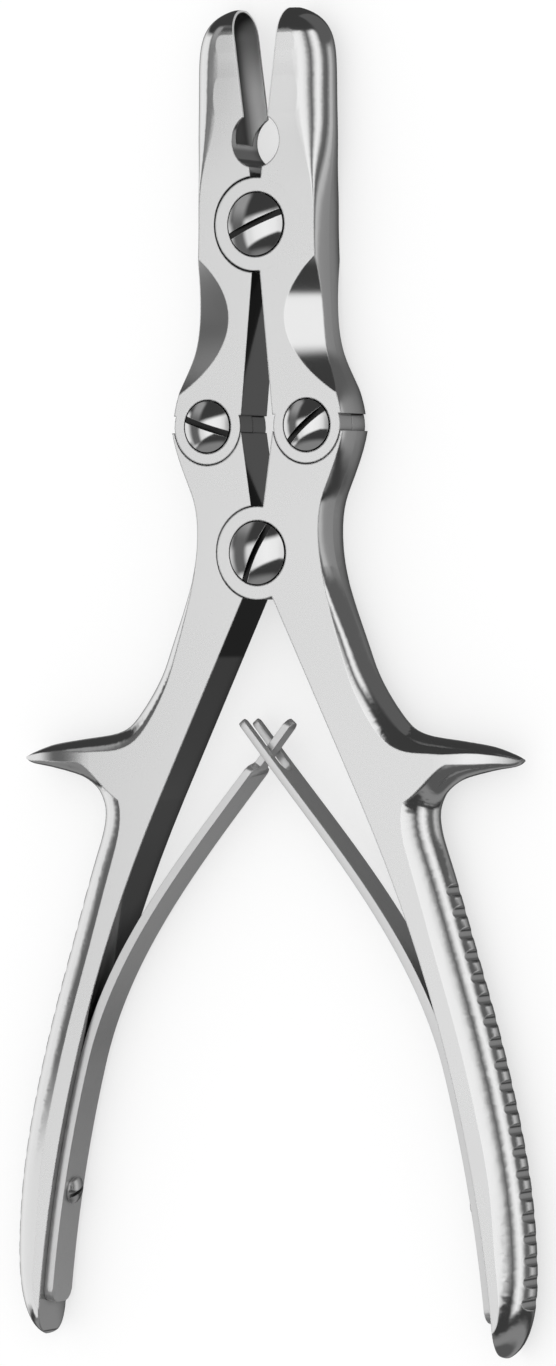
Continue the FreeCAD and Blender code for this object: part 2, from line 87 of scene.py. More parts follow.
class Signal:
    """One output socket of a shader tree that can be used in sums.

    Each operation adds one Math node, also where a plain number stands on the left.
    """

    def __init__(self, sheet: "NodeSheet", socket: bpy.types.NodeSocket) -> None:
        """Remembers the tree and the socket that the value comes from."""
        self.sheet = sheet
        self.socket = socket

    def _math(self, operation: str, *values: Number) -> "Signal":
        """Adds a Math node with the given operation and inputs."""
        return self.sheet.add("ShaderNodeMath", {"operation": operation}, dict(enumerate(values)))

    def __add__(self, other: Number) -> "Signal":
        """Sum of two values."""
        return self._math("ADD", self, other)

    def __radd__(self, other: Number) -> "Signal":
        """Sum with the plain number on the left."""
        return self._math("ADD", other, self)

    def __sub__(self, other: Number) -> "Signal":
        """Difference of two values."""
        return self._math("SUBTRACT", self, other)

    def __rsub__(self, other: Number) -> "Signal":
        """Difference with the plain number on the left."""
        return self._math("SUBTRACT", other, self)

    def __mul__(self, other: Number) -> "Signal":
        """Product of two values."""
        return self._math("MULTIPLY", self, other)

    def __rmul__(self, other: Number) -> "Signal":
        """Product with the plain number on the left."""
        return self._math("MULTIPLY", other, self)

    def __truediv__(self, other: Number) -> "Signal":
        """Quotient of two values."""
        return self._math("DIVIDE", self, other)

    def __neg__(self) -> "Signal":
        """The value with its sign turned."""
        return self._math("MULTIPLY", self, -1.0)

    def __abs__(self) -> "Signal":
        """The value without its sign."""
        return self._math("ABSOLUTE", self)

    def angle_to(self, other: Number) -> "Signal":
        """The angle whose tangent is this value over the other, in degrees."""
        return self._math("ARCTAN2", self, other) * DEGREES

    def arcsine(self) -> "Signal":
        """The angle whose sine is this value, in degrees."""
        return self._math("ARCSINE", self) * DEGREES

    def limited(self, low: float, high: float) -> "Signal":
        """The value, kept between two bounds."""
        return self._math("MAXIMUM", self._math("MINIMUM", self, high), low)

    def root(self) -> "Signal":
        """The square root of the value."""
        return self._math("SQRT", self)

    def towards(self, other: Number, share: Number) -> "Signal":
        """This value, changed to the other one by a share from 0 to 1."""
        return self + (other - self) * share

    def spread(self, low: float, high: float) -> "Signal":
        """A share from 0 to 1, drawn out to run from one value to another."""
        return self * (high - low) + low

    def smooth(self, low: float, high: float) -> "Signal":
        """Zero below low, one above high and smooth between, also with low above high.

        Args:
            low: The value at which the result is zero.
            high: The value at which the result is one.

        Returns:
            A share from 0 to 1.
        """
        start, end, to_min, to_max = (low, high, 0.0, 1.0) if low < high else (high, low, 1.0, 0.0)
        return self.sheet.add(
            "ShaderNodeMapRange",
            {"interpolation_type": "SMOOTHSTEP"},
            {"Value": self, "From Min": start, "From Max": end, "To Min": to_min, "To Max": to_max},
        )


class NodeSheet:
    """A shader tree that is filled from Python."""

    EDGE_SAMPLES = 6
    SKY_SAMPLES = 8

    def __init__(self, tree: bpy.types.NodeTree) -> None:
        """Empties the tree."""
        self.tree = tree
        tree.nodes.clear()

    @classmethod
    def of_material(cls, name: str) -> tuple[bpy.types.Material, "NodeSheet"]:
        """Makes a material and the sheet that fills it.

        Args:
            name: The material's name.

        Returns:
            The material and its sheet.
        """
        material = bpy.data.materials.new(name)
        material.use_nodes = True
        return material, cls(material.node_tree)

    def plug(self, socket: bpy.types.NodeSocket, value: Any) -> None:
        """Links a signal to a socket, or sets the socket to a plain value.

        Args:
            socket: The input socket.
            value: A signal, or a value that the socket can hold.
        """
        if isinstance(value, Signal):
            self.tree.links.new(value.socket, socket)
        else:
            socket.default_value = value

    def add(
        self,
        kind: str,
        settings: Optional[dict[str, Any]] = None,
        sockets: Optional[dict[SocketKey, Any]] = None,
        output: SocketKey = 0,
    ) -> Signal:
        """Adds one node of any type.

        Args:
            kind: The node's type name.
            settings: Its properties, set first. The key stops holds a colour ramp's stops.
            sockets: Values or signals for its inputs, by name or number.
            output: The output that is returned.

        Returns:
            The chosen output as a signal.
        """
        node = self.tree.nodes.new(kind)
        for name, value in (settings or {}).items():
            if name == "stops":
                self._set_stops(node.color_ramp, value)
            else:
                setattr(node, name, value)
        for key, value in (sockets or {}).items():
            self.plug(node.inputs[key], value)
        return Signal(self, node.outputs[output])

    @staticmethod
    def _set_stops(ramp: bpy.types.ColorRamp, stops: Sequence[Span]) -> None:
        """Gives a ramp grey stops.

        Args:
            ramp: The ramp.
            stops: A place and a value for each stop, in order.
        """
        while len(ramp.elements) > 1:
            ramp.elements.remove(ramp.elements[-1])
        for index, (place, value) in enumerate(stops):
            stop = ramp.elements[0] if index == 0 else ramp.elements.new(place)
            stop.position = place
            stop.color = (value, value, value, 1.0)

    def finish(self, kind: str, surface: Signal) -> None:
        """Ends the tree in an output node of the given type."""
        output = self.tree.nodes.new(kind)
        self.plug(output.inputs["Surface"], surface)

    def noise(self, place: Signal, scale: float, detail: float = 2.0, rough: float = 0.5) -> Signal:
        """Soft noise from 0 to 1 with a scale in cells per metre."""
        sockets = {"Vector": place, "Scale": scale, "Detail": detail, "Roughness": rough}
        return self.add("ShaderNodeTexNoise", {}, sockets, 0)

    def stretched(self, place: Signal, factors: tuple[float, float, float]) -> Signal:
        """A place with each axis scaled, to draw noise out into lines."""
        return self.add("ShaderNodeVectorMath", {"operation": "MULTIPLY"}, {0: place, 1: factors})

    def split(self, vector: Signal) -> tuple[Signal, Signal, Signal]:
        """The three components of a vector."""
        node = self.add("ShaderNodeSeparateXYZ", {}, {0: vector}).socket.node
        x, y, z = (Signal(self, output) for output in node.outputs)
        return x, y, z

    def glow(self, level: Signal) -> Signal:
        """Grey light whose level goes by the place."""
        grey = self.add("ShaderNodeCombineXYZ", {}, {0: level, 1: level, 2: level})
        return self.add("ShaderNodeEmission", {}, {"Color": grey, "Strength": 1.0})

    def steel(
        self, level: Signal, roughness: Signal, metal: Number, relief: Signal, edge_radius: float
    ) -> Signal:
        """Adds bare steel with fine relief and edges that catch the light.

        Args:
            level: The grey level of the metal.
            roughness: Its roughness.
            metal: How metallic it is.
            relief: The height of the surface, in metres.
            edge_radius: How far the edges look rounded, in millimetres.

        Returns:
            The shader.
        """
        tint = WHITE[:3]
        colour = self.add("ShaderNodeVectorMath", {"operation": "SCALE"}, {0: tint, "Scale": level})
        soft_edge = self.add(
            "ShaderNodeBevel", {"samples": self.EDGE_SAMPLES}, {"Radius": edge_radius * MM}
        )
        sockets = {"Strength": 1.0, "Distance": 1.0, "Height": relief, "Normal": soft_edge}
        bump = self.add("ShaderNodeBump", {}, sockets)
        sockets = {"Base Color": colour, "Roughness": roughness, "Metallic": metal, "Normal": bump}
        return self.add("ShaderNodeBsdfPrincipled", {}, sockets)


@dataclass(frozen=True)
class CupFinishAndPaintedShade:
    """The ground hollow of the jaws with its honed lip, both duller than the polish round them.

    The hollow is a channel with a round end about a line that leans out from the jaw pivot on
    each side. Its colour is painted shade: darker on its overhanging wall, lighter towards its
    floor, and darker again towards its round end.
    """

    pivot_y: float = 66.2
    lean: float = 7.4
    middle_z: float = 5.25
    radius: float = 4.65
    start_y: float = 82.0
    start_run: float = 1.0
    end_run: float = 38.77
    wall_margin: Span = (0.25, 0.12)
    lip_margin: float = 0.05
    lip_width: Span = (0.2, 0.1)
    metal: float = 0.40
    extra_roughness: float = 0.35
    # floor_facing, darkest, lightest, end_shade and end_reach set the hollow's painted shade.
    floor_facing: Span = (0.45, 1.0)
    darkest: float = 0.10
    lightest: float = 1.0
    end_shade: float = 0.30
    end_reach: float = 13.0

    def shares(
        self, sheet: NodeSheet, place: Signal, facing: Signal
    ) -> tuple[Signal, Signal, Signal]:
        """Finds the hollow and its lip, and the hollow's painted shade.

        Args:
            sheet: The material's tree.
            place: The place on the piece, in metres.
            facing: How far the surface faces the front.

        Returns:
            Two shares that are one inside the hollow and on the lip, and zero elsewhere, and
            the level of the hollow's painted shade.
        """
        x, y, z = sheet.split(place)
        cosine, sine = math.cos(math.radians(self.lean)), math.sin(math.radians(self.lean))
        rise = y / MM - self.pivot_y
        aside = abs(x) / MM * cosine - rise * sine
        along = abs(x) / MM * sine + rise * cosine - self.end_run
        beyond = along.limited(0.0, self.radius * 2)
        away = z / MM - self.middle_z
        distance = (aside * aside + away * away + beyond * beyond).root()
        cup = (y / MM).smooth(self.start_y, self.start_y + self.start_run)
        outer, inner = self.wall_margin
        hollow = distance.smooth(self.radius + outer, self.radius + inner) * cup
        rim = distance.smooth(self.radius - self.lip_margin, self.radius)
        lip = abs(aside).smooth(*self.lip_width) * rim * cup
        # Painted shade: the hollow is darker where it faces away from the front and lighter on its
        # floor.
        light = facing.smooth(*self.floor_facing).spread(self.darkest, self.lightest)
        # Painted shade: darker towards the hollow's round end.
        near_end = along.smooth(-self.end_reach, 0.0) * (1.0 - self.end_shade)
        return hollow, lip, light * (1.0 - near_end)


@dataclass(frozen=True)
class SteelFinishAndPaintedShade:
    """Bare steel with satin flats and polished rounded edges.

    The flats are the surfaces that face straight to the front or the back. The colour also
    carries painted shade: darker in cavities, in the slots of screw heads and on the walls of
    the gap, which is the one between the two halves of the forgings.
    """

    name: str = "forged_steel_satin_polish_painted_shade"
    shade: float = 0.80
    satin_share: float = 1.0
    satin_facing: Span = (0.975, 0.999)
    satin_roughness: float = 0.27
    polish_roughness: float = 0.10
    detail: float = 3.0
    cloud_scale: float = 45.0
    cloud_shade: float = 0.05
    cloud_roughness: float = 0.06
    grain_size: float = 0.35
    grain_raggedness: float = 0.7
    grain_shade: float = 0.02
    grain_roughness: float = 0.04
    grain_depth: float = 0.0015
    line_pitch: float = 0.5
    line_stretch: tuple[float, float, float] = (1.0, 0.06, 1.0)
    line_depth: float = 0.002
    edge_radius: float = 0.4
    # slot_share, slot_shade and the slot facings set the painted shade in screwdriver slots.
    slot_share: float = 0.0
    slot_floor_facing: Span = (0.9985, 0.9995)
    slot_wall_facing: Span = (0.2, 0.05)
    slot_shade: float = 0.05
    slot_roughness: float = 0.4
    # cavity_reach, cavity_shade and cavity_range set the painted shade in cavities.
    cavity_reach: float = 5.0
    cavity_shade: float = 0.30
    cavity_range: Span = (0.25, 0.85)
    # gap_shade, gap_x, gap_y and gap_facing set the painted shade on the gap walls.
    gap_shade: float = 1.0
    gap_x: Span = (9.5, 9.0)
    gap_y: Span = (65.0, 64.0)
    gap_facing: Span = (0.3, 0.2)
    crown: float = 0.0
    crown_x: Span = (1.0, 16.0)
    crown_y: Span = (74.0, 104.0)
    cup: Optional[CupFinishAndPaintedShade] = None

    def material(self) -> bpy.types.Material:
        """Builds the material.

        Returns:
            The material, for every piece with this finish.
        """
        material, sheet = NodeSheet.of_material(self.name)
        place = sheet.add("ShaderNodeTexCoord", {}, {}, "Object")
        _, _, facing = sheet.split(sheet.add("ShaderNodeNewGeometry", {}, {}, "Normal"))
        flat = abs(facing).smooth(*self.satin_facing) * self.satin_share
        cloud = sheet.noise(place, self.cloud_scale, self.detail)
        grain_scale = 1.0 / (self.grain_size * MM)
        grain = sheet.noise(place, grain_scale, self.detail, self.grain_raggedness)
        lines = sheet.noise(sheet.stretched(place, self.line_stretch), 1.0 / (self.line_pitch * MM))
        roughness = flat.spread(self.polish_roughness, self.satin_roughness)
        roughness = roughness + (cloud - NOISE_MEAN) * self.cloud_roughness
        roughness = roughness + (grain - NOISE_MEAN) * flat * self.grain_roughness
        level = self.shade + (cloud - NOISE_MEAN) * self.cloud_shade
        level = level + (grain - NOISE_MEAN) * flat * self.grain_shade
        # Painted shade: the colour is darkened in cavities and corners by ambient occlusion.
        level = level * self.painted_shade_in_cavities(sheet)
        metal: Number = 1.0
        if self.cup:
            hollow, lip, light = self.cup.shares(sheet, place, facing)
            # The hollow's colour becomes its painted shade.
            level = level.towards(light, hollow)
            roughness = roughness + (hollow + lip) * self.cup.extra_roughness
            metal = 1.0 - (hollow + lip) * (1.0 - self.cup.metal)
        # Painted shade: the walls of the gap between the two halves are painted dark.
        if self.gap_shade < 1:
            level = level.towards(self.shade * self.gap_shade, self.gap_walls(sheet, place, facing))
        # Painted shade: screwdriver slots are painted dark.
        if self.slot_share > 0:
            slot = self.slots(sheet) * self.slot_share
            level = level * (1.0 - slot) + slot * self.slot_shade
            roughness = roughness + slot * self.slot_roughness
        relief = grain * flat * (self.grain_depth * MM) + lines * (self.line_depth * MM)
        if self.crown > 0:
            relief = relief - self.fall(sheet, place) * (self.crown * MM)
        steel = sheet.steel(level, roughness, metal, relief, self.edge_radius)
        sheet.finish("ShaderNodeOutputMaterial", steel)
        return material

    def slots(self, sheet: NodeSheet) -> Signal:
        """Finds the screwdriver slot by its level floor and upright walls.

        Args:
            sheet: The material's tree.

        Returns:
            A share that is one in the slot.
        """
        _, _, facing = sheet.split(sheet.add("ShaderNodeNewGeometry", {}, {}, "True Normal"))
        floor = abs(facing).smooth(*self.slot_floor_facing)
        return floor + abs(facing).smooth(*self.slot_wall_facing)

    def gap_walls(self, sheet: NodeSheet, place: Signal, facing: Signal) -> Signal:
        """Finds the upright walls of the narrow gap in the middle, which get painted shade.

        Args:
            sheet: The material's tree.
            place: The place on the piece, in metres.
            facing: How far the surface faces the front.

        Returns:
            A share that is one on the walls.
        """
        x, y, _ = sheet.split(place)
        near = (abs(x) / MM).smooth(*self.gap_x) * (y / MM).smooth(*self.gap_y)
        return near * abs(facing).smooth(*self.gap_facing)

    def fall(self, sheet: NodeSheet, place: Signal) -> Signal:
        """How far the slightly crowned front of the jaws has fallen away, as a share."""
        x, y, _ = sheet.split(place)
        return (abs(x) / MM).smooth(*self.crown_x) * (y / MM).smooth(*self.crown_y)

    def painted_shade_in_cavities(self, sheet: NodeSheet) -> Signal:
        """Painted shade in cavities: how bright the colour stays for what stands round a place.

        Args:
            sheet: The material's tree.

        Returns:
            One in the open, and less in a cavity.
        """
        sockets = {"Distance": self.cavity_reach * MM}
        settings = {"samples": sheet.SKY_SAMPLES}
        open_sky = sheet.add("ShaderNodeAmbientOcclusion", settings, sockets, "AO")
        return open_sky.smooth(*self.cavity_range).spread(self.cavity_shade, 1.0)


class Piece:
    """Helpers that give meshes their material and put them in the scene."""

    @staticmethod
    def dress(obj: bpy.types.Object, material: bpy.types.Material) -> None:
        """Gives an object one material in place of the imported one."""
        obj.data.materials.clear()
        obj.data.materials.append(material)

    @staticmethod
    def from_bmesh(
        name: str, mesh: bmesh.types.BMesh, smooth_angle: float = 35.0
    ) -> bpy.types.Object:
        """Makes a shaded object of a bmesh and frees it.

        Args:
            name: The object's name.
            mesh: Its mesh, which can't be used afterwards.
            smooth_angle: The angle in degrees above which an edge stays sharp.

        Returns:
            The object, in the scene.
        """
        data = bpy.data.meshes.new(name)
        mesh.normal_update()
        mesh.to_mesh(data)
        mesh.free()
        for polygon in data.polygons:
            polygon.use_smooth = True
        data.set_sharp_from_angle(angle=math.radians(smooth_angle))
        obj = bpy.data.objects.new(name, data)
        bpy.context.scene.collection.objects.link(obj)
        return obj


@dataclass
class Forgings:
    """The two jaws and the two handles."""

    # Painted shade in the jaw hollows, on the gap walls and in cavities.
    finish: SteelFinishAndPaintedShade = SteelFinishAndPaintedShade(cup=CupFinishAndPaintedShade(), gap_shade=0.32, crown=0.55)
    parts: tuple[str, ...] = ("jaw", "handle")

    def build(self, nodes: dict[str, bpy.types.Object]) -> list[bpy.types.Object]:
        """Dresses the four forgings.

        Args:
            nodes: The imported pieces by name.

        Returns:
            The dressed pieces.
        """
        material = self.finish.material()
        made = [nodes[f"{side.word}_{part}"] for side in Side for part in self.parts]
        for obj in made:
            Piece.dress(obj, material)
        return made


@dataclass
class Screws:
    """The four pivot screws and the two small spring screws."""

    finish: SteelFinishAndPaintedShade = SteelFinishAndPaintedShade(
        name="screw_steel_polished_painted_shade",
        shade=0.78,
        polish_roughness=0.07,
        satin_share=0.0,
        line_depth=0.001,
        edge_radius=0.12,
        # Painted shade in the screwdriver slots.
        slot_share=1.0,
    )
    spring_screw_finish: SteelFinishAndPaintedShade = SteelFinishAndPaintedShade(
        name="spring_screw_steel_polished",
        shade=0.80,
        polish_roughness=0.16,
        satin_share=0.0,
        line_depth=0.001,
        edge_radius=0.10,
        # Painted shade in the cavities reaches only 1.2 mm here.
        cavity_reach=1.2,
    )
    names: tuple[str, ...] = (
        "jaw_pivot_screw",
        "handle_pivot_screw",
        "left_link_screw",
        "right_link_screw",
    )
    spring_screw_names: tuple[str, ...] = ("left_spring_screw", "right_spring_screw")

    def build(self, nodes: dict[str, bpy.types.Object]) -> list[bpy.types.Object]:
        """Dresses the screws.

        Args:
            nodes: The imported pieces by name.

        Returns:
            The dressed pieces.
        """
        made = []
        small = (self.spring_screw_finish, self.spring_screw_names)
        for finish, names in ((self.finish, self.names), small):
            material = finish.material()
            for name in names:
                Piece.dress(nodes[name], material)
                made.append(nodes[name])
        return made


@dataclass
class SpringPath:
    """The middle line of a leaf spring in the plane of the instrument, on the right side.

    The spring lies on the handle's inner face, which is a straight line and a round arc, lifts
    off it and curves to the middle. Drops are distances below the handle pivot.
    """

    crotch_angle: float = 26.0
    crotch_x: float = 23.4
    crotch_line_drop: float = 50.0
    inner_arc_r: float = 300.0
    foot_drop: float = 153.3
    lift_drop: float = 104.0
    cross_drop: float = 40.0
    cross_angle: float = 40.0
    tip_length: float = 8.0
    foot_thickness: float = 2.1
    tip_thickness: float = 1.5
    seat_gap: float = 0.03
    seat_steps: int = 60
    curve_steps: int = 120
    tip_steps: int = 12
    samples: list[Vector] = field(default_factory=list)
    lengths: list[float] = field(default_factory=list)

    def face_angle(self, y: float) -> float:
        """The lean of the handle's inner face from the Y axis at a height, in radians."""
        drop = max(0.0, -y - self.crotch_line_drop)
        return math.asin(math.sin(math.radians(self.crotch_angle)) - drop / self.inner_arc_r)

    def face_point(self, y: float) -> Vector:
        """Finds the middle line's point where the spring lies on the handle.

        Args:
            y: The height of the point on the handle's inner face.

        Returns:
            That point, moved off the face by half a thickness.
        """
        angle = self.face_angle(y)
        lean = math.radians(self.crotch_angle)
        x = self.crotch_x + self.inner_arc_r * (math.cos(angle) - math.cos(lean))
        inset = self.foot_thickness / 2 + self.seat_gap
        return Vector((x - math.cos(angle) * inset, y - math.sin(angle) * inset, 0.0))

    def trace(self) -> None:
        """Fills the samples and their distances along the line, from the foot to the tip."""
        span, steps = self.foot_drop - self.lift_drop, self.seat_steps
        self.samples = [self.face_point(-self.foot_drop + span * i / steps) for i in range(steps)]
        lift = self.face_point(-self.lift_drop)
        angle, lean = self.face_angle(-self.lift_drop), math.radians(self.cross_angle)
        cross = Vector((0.0, -self.cross_drop, 0.0))
        start_way = Vector((-math.sin(angle), math.cos(angle), 0.0))
        end_way = Vector((-math.sin(lean), math.cos(lean), 0.0))
        reach = (cross - lift).length / 3
        a, b, c, d = lift, lift + start_way * reach, cross - end_way * reach, cross
        for i in range(self.curve_steps + 1):
            t = i / self.curve_steps
            s = 1 - t
            self.samples.append(a * s**3 + b * (3 * s * s * t) + c * (3 * s * t * t) + d * t**3)
        for i in range(1, self.tip_steps + 1):
            self.samples.append(cross + end_way * (self.tip_length * i / self.tip_steps))
        self.lengths = [0.0]
        for before, after in zip(self.samples, self.samples[1:]):
            self.lengths.append(self.lengths[-1] + (after - before).length)

    def _index(self, length: float) -> int:
        """Finds a place in the samples.

        Args:
            length: A distance along the line.

        Returns:
            The number of the sample before it.
        """
        low, high = 0, len(self.lengths) - 2
        while low < high:
            middle = (low + high + 1) // 2
            if self.lengths[middle] <= length:
                low = middle
            else:
                high = middle - 1
        return low

    def at(self, length: float) -> tuple[Vector, Vector]:
        """Finds a point of the line.

        Args:
            length: Its distance along the line.

        Returns:
            The point and the way across the line, towards the handle.
        """
        index = self._index(length)
        a, b = self.samples[index], self.samples[index + 1]
        share = (length - self.lengths[index]) / (self.lengths[index + 1] - self.lengths[index])
        before = self.samples[max(0, index - 1)]
        after = self.samples[min(len(self.samples) - 1, index + 2)]
        behind, ahead = (b - before).normalized(), (after - a).normalized()
        way = (behind * (1 - share) + ahead * share).normalized()
        return a.lerp(b, share), Vector((way.y, -way.x, 0.0))

    def length_at_drop(self, drop: float) -> float:
        """Finds the distance along the line of the point at a height.

        Args:
            drop: The distance of the point below the handle pivot.

        Returns:
            The distance along the line from the foot.
        """
        for index, point in enumerate(self.samples[:-1]):
            after = self.samples[index + 1]
            if after.y >= -drop:
                share = (-drop - point.y) / (after.y - point.y)
                return self.lengths[index] + share * (self.lengths[index + 1] - self.lengths[index])
        return self.lengths[-1]

    @property
    def total(self) -> float:
        """The whole length of the line."""
        return self.lengths[-1]

    def thickness(self, length: float) -> float:
        """Finds the spring's thickness, which is even on the seat and then gets less.

        Args:
            length: A distance along the line.

        Returns:
            The thickness there.
        """
        lift = self.length_at_drop(self.lift_drop)
        share = max(0.0, (length - lift) / (self.total - lift))
        return self.foot_thickness + (self.tip_thickness - self.foot_thickness) * share


@dataclass(frozen=True)
class SpringFinish:
    """Brushed spring steel, with the lines along the spring."""

    name: str = "spring_steel_brushed"
    shade: float = 0.72
    roughness: float = 0.30
    metal: float = 0.88
    detail: float = 3.0
    line_stretch: tuple[float, float, float] = (4.0, 260.0, 1.0)
    line_scale: float = 12.0
    line_raggedness: float = 0.6
    line_shade: float = 0.12
    line_roughness: float = 0.14
    line_depth: float = 0.004
    cloud_scale: float = 60.0
    cloud_shade: float = 0.06
    edge_radius: float = 0.15

    def material(self) -> bpy.types.Material:
        """Builds the material, whose lines follow the spring's own length coordinate.

        Returns:
            The material, for both springs.
        """
        material, sheet = NodeSheet.of_material(self.name)
        along = sheet.add("ShaderNodeUVMap", {"uv_map": "SpringLength"})
        place = sheet.add("ShaderNodeTexCoord", {}, {}, "Object")
        drawn_out = sheet.stretched(along, self.line_stretch)
        brushed = sheet.noise(drawn_out, self.line_scale, self.detail, self.line_raggedness)
        cloud = sheet.noise(place, self.cloud_scale, self.detail)
        level = self.shade + (brushed - NOISE_MEAN) * self.line_shade
        level = level + (cloud - NOISE_MEAN) * self.cloud_shade
        roughness = self.roughness + (brushed - NOISE_MEAN) * self.line_roughness
        relief = brushed * (self.line_depth * MM)
        steel = sheet.steel(level, roughness, self.metal, relief, self.edge_radius)
        sheet.finish("ShaderNodeOutputMaterial", steel)
        return material


@dataclass
class LeafSpring:
    """One leaf spring: a tapered strip on the handle's inner face that curves to the middle.

    The strip is drawn flat and one unit thick, with its length along X and its width along Y,
    and then bent to its path. The right spring ends in a fork and the left one in a tongue that
    passes through it.
    """

    side: Side
    path: SpringPath
    middle_z: float = 5.25
    foot_width: float = 7.6
    foot_overhang: float = 1.0
    tip_width: float = 7.2
    foot_round: float = 2.5
    tongue_width: float = 3.0
    tongue_shoulder: float = 3.0
    shoulder_round: float = 1.5
    tongue_fillet: float = 0.6
    fork_slot_width: float = 3.8
    fork_slot_root: float = 4.5
    edge_break: float = 0.22
    edge_segments: int = 2
    corner_steps: int = 8
    fillet_steps: int = 5
    round_steps: int = 12
    step: float = 1.6
    level_tolerance: float = 1e-9
    cut_tolerance: float = 1e-5
    end_margin: float = 1e-4
    texture_length: float = 100.0

    def half_width(self, y: float) -> float:
        """Finds half the strip's width, which changes evenly from the foot to the tip.

        Args:
            y: A height.

        Returns:
            Half the width there.
        """
        path = self.path
        low = -path.foot_drop - self.foot_overhang
        high = -path.cross_drop + path.tip_length * math.cos(math.radians(path.cross_angle))
        share = (y - low) / (high - low)
        return (self.foot_width + (self.tip_width - self.foot_width) * share) / 2

    def arc(
        self, x: float, y: float, r: float, start: float, end: float, steps: Optional[int] = None
    ) -> list[Vector]:
        """Draws points on a circle.

        Args:
            x: The centre's X.
            y: The centre's Y.
            r: The radius.
            start: The first angle in degrees.
            end: The last angle in degrees.
            steps: The number of spaces between points, if not that of a corner.

        Returns:
            The points in order.
        """
        steps = steps or self.corner_steps
        points = []
        for i in range(steps + 1):
            angle = math.radians(start + (end - start) * i / steps)
            points.append(Vector((x + r * math.cos(angle), y + r * math.sin(angle), 0.0)))
        return points

    def fork(self) -> list[Vector]:
        """Draws the right spring's end, with two round prongs beside a slot.

        Returns:
            The points from the lower edge to the upper one.
        """
        path = self.path
        tip_r = (self.tip_width - self.fork_slot_width) / 4
        slot_half = self.fork_slot_width / 2
        root = path.length_at_drop(path.cross_drop + self.fork_slot_root)
        middle = slot_half + tip_r
        points = self.arc(path.total - tip_r, -middle, tip_r, -90, 90)
        points += self.arc(root + slot_half, 0.0, slot_half, 270, 90, self.round_steps)
        return points + self.arc(path.total - tip_r, middle, tip_r, -90, 90)

    def tongue(self) -> list[Vector]:
        """Draws the left spring's end, with round shoulders and a narrow tongue.

        Returns:
            The points from the lower edge to the upper one.
        """
        path = self.path
        shoulder = path.length_at_drop(path.cross_drop + self.tongue_shoulder)
        half = self.tongue_width / 2
        width = self.half_width(-path.cross_drop - self.tongue_shoulder)
        corner, fillet = self.shoulder_round, self.tongue_fillet
        points = self.arc(shoulder - corner, -width + corner, corner, -90, 0)
        points += self.arc(shoulder + fillet, -half - fillet, fillet, 180, 90, self.fillet_steps)
        points += self.arc(path.total - half, 0.0, half, -90, 90, self.round_steps)
        points += self.arc(shoulder + fillet, half + fillet, fillet, 270, 180, self.fillet_steps)
        return points + self.arc(shoulder - corner, width - corner, corner, 0, 90)

    def outline(self) -> list[Vector]:
        """Draws the flat strip's outline.

        Returns:
            The points, foot first and counterclockwise.
        """
        r = self.foot_round
        foot_half = self.half_width(-self.path.foot_drop)
        end = self.fork() if self.side is Side.RIGHT else self.tongue()
        return self.arc(r, -foot_half + r, r, 180, 270) + end + self.arc(r, foot_half - r, r, 90, 180)

    def flat_strip(self) -> bmesh.types.BMesh:
        """Makes the flat strip with broken edges, cut across often enough to bend smoothly.

        Returns:
            The strip's mesh.
        """
        mesh = bmesh.new()
        outline = self.outline()
        rows = [[mesh.verts.new((p.x, p.y, z)) for p in outline] for z in (-0.5, 0.5)]
        mesh.faces.new(list(reversed(rows[0])))
        mesh.faces.new(rows[1])
        for i, vertex in enumerate(rows[0]):
            j = (i + 1) % len(outline)
            mesh.faces.new((vertex, rows[0][j], rows[1][j], rows[1][i]))
        rim = [
            edge
            for edge in mesh.edges
            if abs(edge.verts[0].co.z - edge.verts[1].co.z) < self.level_tolerance
        ]
        bmesh.ops.bevel(
            mesh,
            geom=rim,
            offset=self.edge_break / self.path.foot_thickness,
            segments=self.edge_segments,
            affect="EDGES",
            profile=0.5,
        )
        cuts = int(self.path.total / self.step)
        for i in range(1, cuts):
            geometry = mesh.verts[:] + mesh.edges[:] + mesh.faces[:]
            place = (self.path.total * i / cuts, 0, 0)
            bmesh.ops.bisect_plane(
                mesh, geom=geometry, plane_co=place, plane_no=(1, 0, 0), dist=self.cut_tolerance
            )
        return mesh

    def bend(self, mesh: bmesh.types.BMesh) -> None:
        """Moves the flat strip's points to the path and keeps their flat places for the lines.

        Args:
            mesh: The flat strip, which is changed.
        """
        layer = mesh.loops.layers.uv.new("SpringLength")
        for face in mesh.faces:
            for loop in face.loops:
                flat = loop.vert.co
                loop[layer].uv = (flat.x / self.texture_length, flat.y / self.texture_length)
        for vertex in mesh.verts:
            length = min(self.path.total - self.end_margin, max(0.0, vertex.co.x))
            point, across = self.path.at(length)
            spot = point + across * (vertex.co.z * self.path.thickness(length))
            place = Vector((spot.x * self.side.value, spot.y, self.middle_z + vertex.co.y))
            vertex.co = place * MM
        if self.side is Side.LEFT:
            bmesh.ops.reverse_faces(mesh, faces=mesh.faces[:])
        bmesh.ops.recalc_face_normals(mesh, faces=mesh.faces[:])

    def build(self, material: bpy.types.Material) -> bpy.types.Object:
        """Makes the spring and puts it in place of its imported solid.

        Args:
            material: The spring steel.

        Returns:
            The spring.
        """
        mesh = self.flat_strip()
        self.bend(mesh)
        obj = Piece.from_bmesh(f"{self.side.word}_spring_blade", mesh)
        Piece.dress(obj, material)
        node = f"{self.side.word}_leaf_spring"
        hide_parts(node)
        lift = self.path.face_point(-self.path.lift_drop) * MM
        self.side.body("handle")
        self.side.other.body("handle")
        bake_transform(obj)
        return obj


class ReflectionOnly:
    """What only the reflections in the steel see."""

    @staticmethod
    def place(obj: bpy.types.Object, material: bpy.types.Material) -> bpy.types.Object:
        """Gives an object its glow and hides it from the camera and from every ray but glossy ones.

        Args:
            obj: The object.
            material: Its glowing material.

        Returns:
            The same object.
        """
        Piece.dress(obj, material)
        obj.visible_camera = False
        obj.visible_diffuse = False
        obj.visible_transmission = False
        obj.visible_volume_scatter = False
        obj.visible_shadow = False
        return obj


